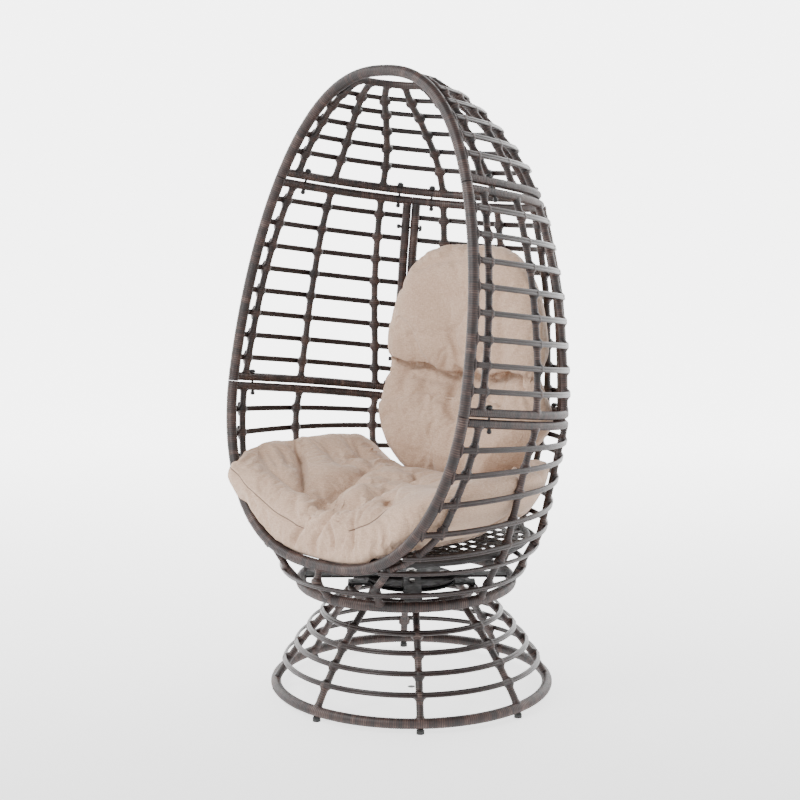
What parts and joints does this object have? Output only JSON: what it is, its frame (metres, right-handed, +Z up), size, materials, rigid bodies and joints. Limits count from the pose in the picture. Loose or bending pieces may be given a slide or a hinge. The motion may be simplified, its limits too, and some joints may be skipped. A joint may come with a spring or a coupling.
{
  "type": "swivel egg chair",
  "caption": "Wicker-wound swivel egg chair on a conical round stand, built in bolted sections, with a net deck, a tufted seat cushion and a two-lobed back cushion.",
  "frame": {"origin": "on the floor, on the swivel axis, at the centre of the stand", "axes": "+Z up along the swivel axis; the open front faces -Y; +X points to the right of someone who looks at the open front"},
  "size_m": [0.8794, 0.747, 1.6278],
  "materials": {
    "wicker": "fine wound resin strand, satin",
    "foot_rubber": "matte",
    "black_steel": "powder coat, satin",
    "ball_steel": "polished",
    "plated_steel": "zinc plated",
    "cap_plastic": "satin",
    "deck_cord": "wound cord, matte",
    "deck_mesh": "woven strap, matte",
    "linen": "linen weave, matte"
  },
  "bodies": {
    "base": {"floor_ring": "wicker", "stand_ribs": "wicker", "stand_hoops": "wicker", "stand_top_ring": "wicker", "stand_cross_arms": "black_steel", "feet": "foot_rubber", "swivel_lower_plate": "black_steel", "swivel_balls": "ball_steel", "swivel_king_pin": "plated_steel", "swivel_lock_nut": "plated_steel", "swivel_lower_bolts": "plated_steel"},
    "seat": {"swivel_upper_plate": "black_steel", "swivel_upper_bolts": "plated_steel", "seat_cross_arms": "black_steel", "seat_bottom_ring": "wicker", "seat_front_tube": "wicker", "seat_top_rail": "wicker", "seat_ribs": "wicker", "seat_hoops": "wicker", "seat_deck_rim": "deck_cord", "seat_deck_net": "deck_mesh", "left_front_tube": "wicker", "left_post": "wicker", "left_top_rail": "wicker", "left_bottom_rail": "wicker", "left_ribs": "wicker", "left_hoops": "wicker", "right_front_tube": "wicker", "right_post": "wicker", "right_top_rail": "wicker", "right_bottom_rail": "wicker", "right_ribs": "wicker", "right_hoops": "wicker", "back_left_post": "wicker", "back_right_post": "wicker", "back_top_rail": "wicker", "back_bottom_rail": "wicker", "back_ribs": "wicker", "back_hoops": "wicker", "dome_arch": "wicker", "dome_rail": "wicker", "dome_crown_bar": "wicker", "dome_ribs": "wicker", "dome_hoops": "wicker", "upper_joint_bolts": "cap_plastic", "upper_joint_nuts": "cap_plastic", "lower_joint_bolts": "cap_plastic", "lower_joint_nuts": "cap_plastic", "post_bolts": "cap_plastic", "post_nuts": "cap_plastic", "seat_cushion": "linen", "back_cushion": "linen"}
  },
  "joints": [
    {"name": "swivel", "type": "hinge", "parent": "base", "child": "seat", "pos_m": [0, 0, 0.2985], "axis": [0, 0, 1], "continuous": true}
  ]
}
